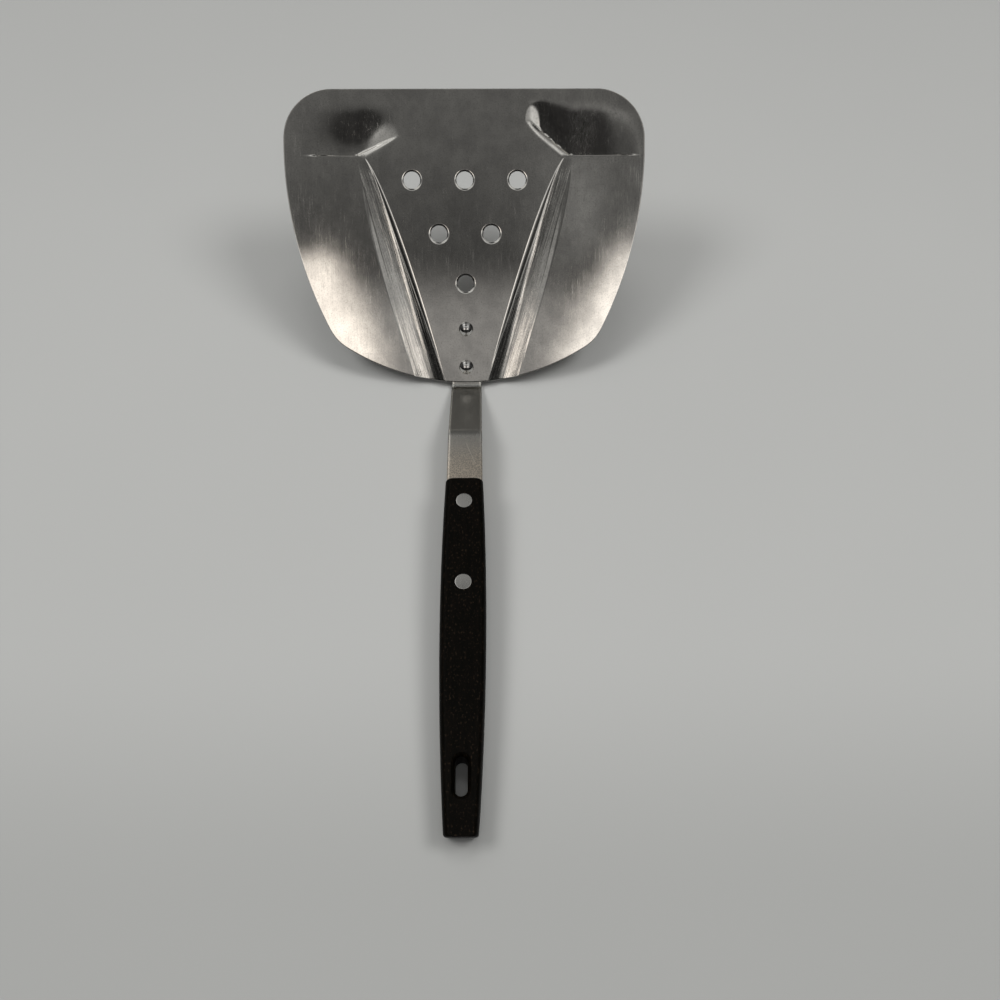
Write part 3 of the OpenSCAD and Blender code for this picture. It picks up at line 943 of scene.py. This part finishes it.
def shank_stations():
    """Middle line of the strip from the tang's end to the end of the lap, in the handle's frame."""
    drop, rise = neck_drop, blade_rise
    heel_vertex = (
        upper_bend_at + slope_length * math.cos(drop),
        -slope_length * math.sin(drop),
    )
    upper_centre = (upper_bend_at - upper_bend_radius * math.tan(drop / 2), -upper_bend_radius)
    heel_run = heel_radius * math.tan((drop + rise) / 2)
    heel_centre = (
        heel_vertex[0] - heel_run * math.cos(drop) + heel_radius * math.sin(drop),
        heel_vertex[1] + heel_run * math.sin(drop) + heel_radius * math.cos(drop),
    )
    line = [((y, 0.0), 0.0) for y in (tang_end, 100.0, 120.0, 140.8, 150.0, 158.0)]
    line += bent(upper_centre, upper_bend_radius, 0.0, -drop, 12, 1)
    line += bent(heel_centre, heel_radius, -drop, rise, 24, -1)
    stations = []
    for (y, z), a in line:
        share = min(max((y - handle_length) / (heel_centre[0] - handle_length), 0.0), 1.0)
        half_width = neck_half_width + (lap_half_width - neck_half_width) * share
        stations.append(((y, z), a, half_width))
    for left in (26.0, 16.0, 5.0, 4.0, 3.0, 2.0, 1.2, 0.6, 0.2, 0.0):
        run = heel_run + lap_lead + lap_length - left
        point = (heel_vertex[0] + run * math.cos(rise), heel_vertex[1] + run * math.sin(rise))
        stations.append((point, rise, lap_half_width - corner_inset(left, lap_corner_radius)))
    return stations


def shank_strip():
    """One steel strip: tang, neck, upper bend, slope, heel bend and the lap under the blade."""
    bm = bmesh.new()
    # The section is drawn taller and then pressed flat, so that its round edges become oval.
    flatten = shank_edge_height / shank_edge_width

    def place(station, across, up):
        (y, z), turn, half_width = station
        across = math.copysign(abs(across) + half_width - lap_half_width, across)
        up *= flatten
        return (across, y - up * math.sin(turn), z + up * math.cos(turn))

    face = section_face(bm, lap_half_width, shank_half / flatten, shank_edge_width, 8)
    drawn_out(bm, face, shank_stations(), place)
    return bm


# Rivets

dome_radius = 3.8618
dome_edge_radius = 3.2
dome_height = 1.7
formed_head_radius = 3.2
formed_head_end_radius = 2.5
formed_head_top = -3.0
formed_head_end = -4.2
rivet_chamfer = 0.1
pin_end = -3.3
crown = 0.05


def blade_rivet(y):
    """A solid rivet: domed head above the blade, shank, and a flat head formed below."""
    bm = bmesh.new()
    rise = [math.asin(dome_edge_radius / dome_radius) * k / 14 for k in range(15)]
    ball = dome_height - dome_radius
    profile = [(dome_radius * math.sin(a), ball + dome_radius * math.cos(a)) for a in rise]
    profile += [
        (blade_rivet_radius, 0.0),
        (blade_rivet_radius, formed_head_top),
        (formed_head_radius - rivet_chamfer, formed_head_top),
        (formed_head_radius, formed_head_top - rivet_chamfer),
        (formed_head_end_radius, formed_head_end + rivet_chamfer),
        (formed_head_end_radius - rivet_chamfer, formed_head_end),
        (0.0, formed_head_end),
    ]
    turned(bm, profile, y)
    return bm


def flush_head(sign):
    """Half profile of a flush head's face, very slightly crowned."""
    radii = (0.0, 0.8, 1.6, 2.4, 2.9, 3.1)
    top, edge = handle_half_thickness, flush_head_radius
    face = [(r, sign * (top - crown * (r / edge) ** 2)) for r in radii]
    rim = [(edge - 0.05, top - 0.08), (edge, top - 0.17), (edge, head_seat)]
    return face + [(r, sign * z) for r, z in rim]


def handle_pin(y):
    bm = bmesh.new()
    stem = [(pin_radius, head_seat), (pin_radius, pin_end + rivet_chamfer)]
    stem += [(pin_radius - rivet_chamfer, pin_end), (0.0, pin_end)]
    turned(bm, flush_head(1) + stem, y)
    return bm


def handle_sleeve(y):
    bm = bmesh.new()
    tube = [(sleeve_radius, -head_seat), (sleeve_radius, head_seat)]
    tube += [(pin_radius, head_seat), (pin_radius, -head_seat), (0.0, -head_seat)]
    turned(bm, flush_head(-1) + tube, y)
    return bm


# Pieces

blade_steel = pressed_steel("blade_steel", blade_place)
rivet_steel = brushed_steel("rivet_steel", blade_place, (0.6, 0.59, 0.57, 1), 0.14, 5e-7)
shank_steel = brushed_steel(
    "shank_steel", handle_place, (0.56, 0.55, 0.52, 1), 0.25, 2e-6, worn=(0.17, 0.147)
)
disc_steel = brushed_steel("disc_steel", handle_place, (0.62, 0.61, 0.58, 1), 0.26, 3e-6)
handle_resin = dark_resin("handle_resin", handle_place)

blade = linked("blade_pressed", blade_sheet(), blade_place, blade_sharp_angle)
stands_for(blade, "blade", blade_steel)

handle = linked("handle_moulded", handle_bar(), handle_place)
carve(handle, linked("handle_cuts", handle_cuts(), handle_place))
stands_for(handle, "handle", handle_resin)

shank = linked("shank_strip", shank_strip(), handle_place)
stands_for(shank, "shank", shank_steel)

for y, node in zip(blade_rivets_at, ("blade_rivet_rear", "blade_rivet_front")):
    rivet = linked(node + "_turned", blade_rivet(y), blade_place)
    stands_for(rivet, node, rivet_steel)
for y, end in zip(handle_rivets_at, ("front", "rear")):
    pin = linked("handle_pin_" + end + "_turned", handle_pin(y), handle_place)
    stands_for(pin, "handle_pin_" + end, disc_steel)
    sleeve = linked("handle_sleeve_" + end + "_turned", handle_sleeve(y), handle_place)
    stands_for(sleeve, "handle_sleeve_" + end, disc_steel)


# Table, light and camera


def flat_face(name, size):
    """A square of the stage that reaches size to each side."""
    build = bmesh.new()
    bmesh.ops.create_grid(build, x_segments=1, y_segments=1, size=size)
    mesh = bpy.data.meshes.new(name)
    build.to_mesh(mesh)
    build.free()
    face = bpy.data.objects.new(name, mesh)
    bpy.context.scene.collection.objects.link(face)
    return face


# What a polished face sees of the room, straight ahead and to either side. The stops are the lean
# from straight up towards the handle's end, in degrees, and the level of light there.
room_middle = (
    (-85, 0.04),
    (-55, 0.09),
    (-33, 0.13),
    (-27, 0.37),
    (-20, 0.22),
    (-16.5, 0.05),
    (-4, 0.04),
    (8, 0.7),
    (16, 0.24),
    (31, 0.13),
    (36, 0.1),
    (39.5, 0.025),
    (46, 0.02),
    (85, 0.02),
)
room_left = (
    (-80, 0.1),
    (-40, 0.5),
    (-28, 1.2),
    (-10, 0.7),
    (14, 0.8),
    (24, 0.32),
    (35, 0.34),
    (40, 0.85),
    (46, 0.7),
    (52, 0.05),
    (85, 0.03),
)
room_right = (
    (-80, 0.1),
    (-40, 0.3),
    (-10, 0.5),
    (14, 0.8),
    (24, 0.35),
    (33, 0.4),
    (38, 0.85),
    (46, 0.7),
    (52, 0.05),
    (85, 0.03),
)
# Patches of the room with a level of their own: the level, from and to across, the softness there,
# from and to along the lean, and the softness there.
room_patches = (
    (0.03, -0.24, -0.085, 0.025, 38.5, 60.0, 1.5),
    (0.02, 0.05, 0.14, 0.02, 38.5, 60.0, 1.5),
    (0.07, -0.05, 0.0, 0.035, 34.0, 36.5, 2.0),
    (0.08, -0.19, -0.145, 0.02, 34.2, 36.8, 1.2),
    (0.08, 0.124, 0.16, 0.006, 28.0, 35.6, 1.0),
    (0.24, 0.055, 0.102, 0.015, 32.0, 37.8, 1.5),
)
# Where the middle gives way to the sides, and where the sides dim to their far level.
left_from = (-0.26, -0.19)
right_from = (0.13, 0.2)
sides_dim = (0.5, 0.72)
far_level = 0.08
lamp_white = (1.0, 1.0, 0.985)
backdrop_grey = (0.62, 0.62, 0.61, 1)


def studio_world():
    """A plain room of soft light, darker and lighter by direction, which the polished steel mirrors."""
    world = bpy.data.worlds.new("studio")
    world.use_nodes = True
    n = Nodes(world.node_tree)
    x, y, z = n.split(n.add("ShaderNodeTexCoord").outputs["Generated"])
    lean = n.times(n.math("ARCTAN2", n.times(y, -1.0), z), 180 / math.pi)

    def profile(stops):
        ramp = n.add("ShaderNodeValToRGB")
        ramp.color_ramp.interpolation = "EASE"
        n.feed(ramp.inputs[0], n.ramp(lean, -90.0, 90.0, 0.0, 1.0, smooth=False))
        points = ramp.color_ramp.elements
        while len(points) < len(stops):
            points.new(0.5)
        for point, (at, level) in zip(points, stops):
            point.position = (at + 90) / 180
            point.color = (level, level, level, 1)
        return n.times(ramp.outputs["Color"], 1.0)

    def between(value, low, high, soft):
        rise = n.ramp(value, low - soft, low + soft)
        return n.times(rise, n.ramp(value, high - soft, high + soft, 1.0, 0.0))

    left = n.ramp(x, *left_from, 1.0, 0.0)
    right = n.ramp(x, *right_from)
    far_aside = n.ramp(n.math("ABSOLUTE", x), *sides_dim, 1.0, far_level)
    sides = n.plus(n.times(profile(room_left), left), n.times(profile(room_right), right))
    level = n.plus(
        n.times(profile(room_middle), n.math("SUBTRACT", 1.0, n.plus(left, right))),
        n.times(sides, far_aside),
    )
    for patch_level, *sizes in room_patches:
        mask = n.times(between(x, *sizes[:3]), between(lean, *sizes[3:]))
        keep = n.math("SUBTRACT", 1.0, mask)
        level = n.plus(n.times(level, keep), n.times(mask, patch_level))
    room = n.add("ShaderNodeBackground")
    n.feed(room.inputs["Strength"], level)
    room.inputs["Color"].default_value = (*lamp_white, 1)
    backdrop = n.add("ShaderNodeBackground")
    backdrop.inputs["Color"].default_value = backdrop_grey
    backdrop.inputs["Strength"].default_value = 1.0
    chosen = n.add("ShaderNodeMixShader")
    n.feed(chosen.inputs[0], n.add("ShaderNodeLightPath").outputs["Is Camera Ray"])
    n.feed(chosen.inputs[1], room.outputs[0])
    n.feed(chosen.inputs[2], backdrop.outputs[0])
    n.output("ShaderNodeOutputWorld", chosen)
    bpy.context.scene.world = world


def soft_lamp(name, place, target, size, power):
    lamp = bpy.data.lights.new(name, "AREA")
    lamp.shape = "DISK"
    lamp.size = size
    lamp.energy = power
    lamp.color = lamp_white
    holder = bpy.data.objects.new(name, lamp)
    holder.location = place
    toward = Vector(target) - Vector(place)
    holder.rotation_euler = toward.to_track_quat("-Z", "Y").to_euler()
    holder.visible_glossy = False
    bpy.context.scene.collection.objects.link(holder)


def glow_card(name, middle, size, turn, soft, level, warm):
    """A pale card that only polished steel sees; its light fades towards its edges."""
    half = 0.5
    card = flat_face(name, half)
    card.location = middle
    card.scale = (size[0], size[1], 1.0)
    card.rotation_euler = (0.0, 0.0, math.radians(turn))
    material, n = new_material(name)
    reaches = n.split(n.add("ShaderNodeTexCoord").outputs["Object"])
    masks = []
    for axis in (0, 1):
        reach = n.math("ABSOLUTE", reaches[axis])
        masks.append(n.ramp(reach, half - soft[axis] / size[axis], half, 1.0, 0.0))
    glow = n.add("ShaderNodeEmission")
    glow.inputs["Color"].default_value = (1.0, 1.0 - warm, 1.0 - 2 * warm, 1)
    glow.inputs["Strength"].default_value = level
    clear = n.add("ShaderNodeBsdfTransparent")
    chosen = n.add("ShaderNodeMixShader")
    n.feed(chosen.inputs[0], n.times(*masks))
    n.feed(chosen.inputs[1], clear.outputs[0])
    n.feed(chosen.inputs[2], glow.outputs[0])
    n.output("ShaderNodeOutputMaterial", chosen)
    give(card, material)
    card.visible_camera = False
    card.visible_diffuse = False
    card.visible_shadow = False


def photo_camera():
    """The camera's tilt, yaw and roll, its lens and its place, as fitted to the holes and bends."""
    tilt, yaw, roll = (math.radians(a) for a in (32.27, 0.831, 0.398))
    axis = Vector(
        (math.sin(yaw) * math.sin(tilt), math.cos(yaw) * math.sin(tilt), -math.cos(tilt))
    )
    level_right = Vector((math.cos(yaw), -math.sin(yaw), 0))
    level_up = level_right.cross(axis)
    right = level_right * math.cos(roll) + level_up * math.sin(roll)
    up = level_up * math.cos(roll) - level_right * math.sin(roll)
    camera = bpy.data.cameras.new("photo_camera")
    camera.lens = 36.108
    camera.sensor_width = 36.0
    camera.clip_start = 0.01
    holder = bpy.data.objects.new("photo_camera", camera)
    turn = Matrix((right, up, -axis)).transposed()
    holder.matrix_world = Matrix.Translation((0.011362, -0.234121, 0.36022)) @ turn.to_4x4()
    bpy.context.scene.collection.objects.link(holder)
    bpy.context.scene.camera = holder


table = flat_face("table_top", 4.0)
give(table, table_paint_and_shade())
studio_world()
# For each card its middle, size, turn in degrees, soft border, level and warmth.
glow_card("glow_card_left", (-0.142, -0.178, 0.3), (0.125, 0.16), 14, (0.022, 0.026), 1.75, 0.07)
glow_card("glow_card_right", (0.124, -0.172, 0.3), (0.11, 0.17), -21, (0.03, 0.03), 1.65, 0.05)
glow_card("glow_card_middle", (-0.01, -0.2, 0.302), (0.2, 0.2), 0, (0.03, 0.07), 0.34, 0.02)
# For each lamp its place, target, size and power.
soft_lamp("lamp_left", (-0.72, -0.04, 1.15), (0, 0.0, 0), 0.55, 6.3)
soft_lamp("lamp_right", (0.7, -0.03, 1.15), (0, 0.0, 0), 0.55, 6.3)
soft_lamp("lamp_far", (0.0, 0.45, 1.4), (0, 0.1, 0), 0.5, 2.4)
soft_lamp("lamp_near", (0.0, -0.85, 1.15), (0, 0.0, 0), 0.7, 1.3)
photo_camera()
bpy.context.scene.view_settings.view_transform = "Standard"
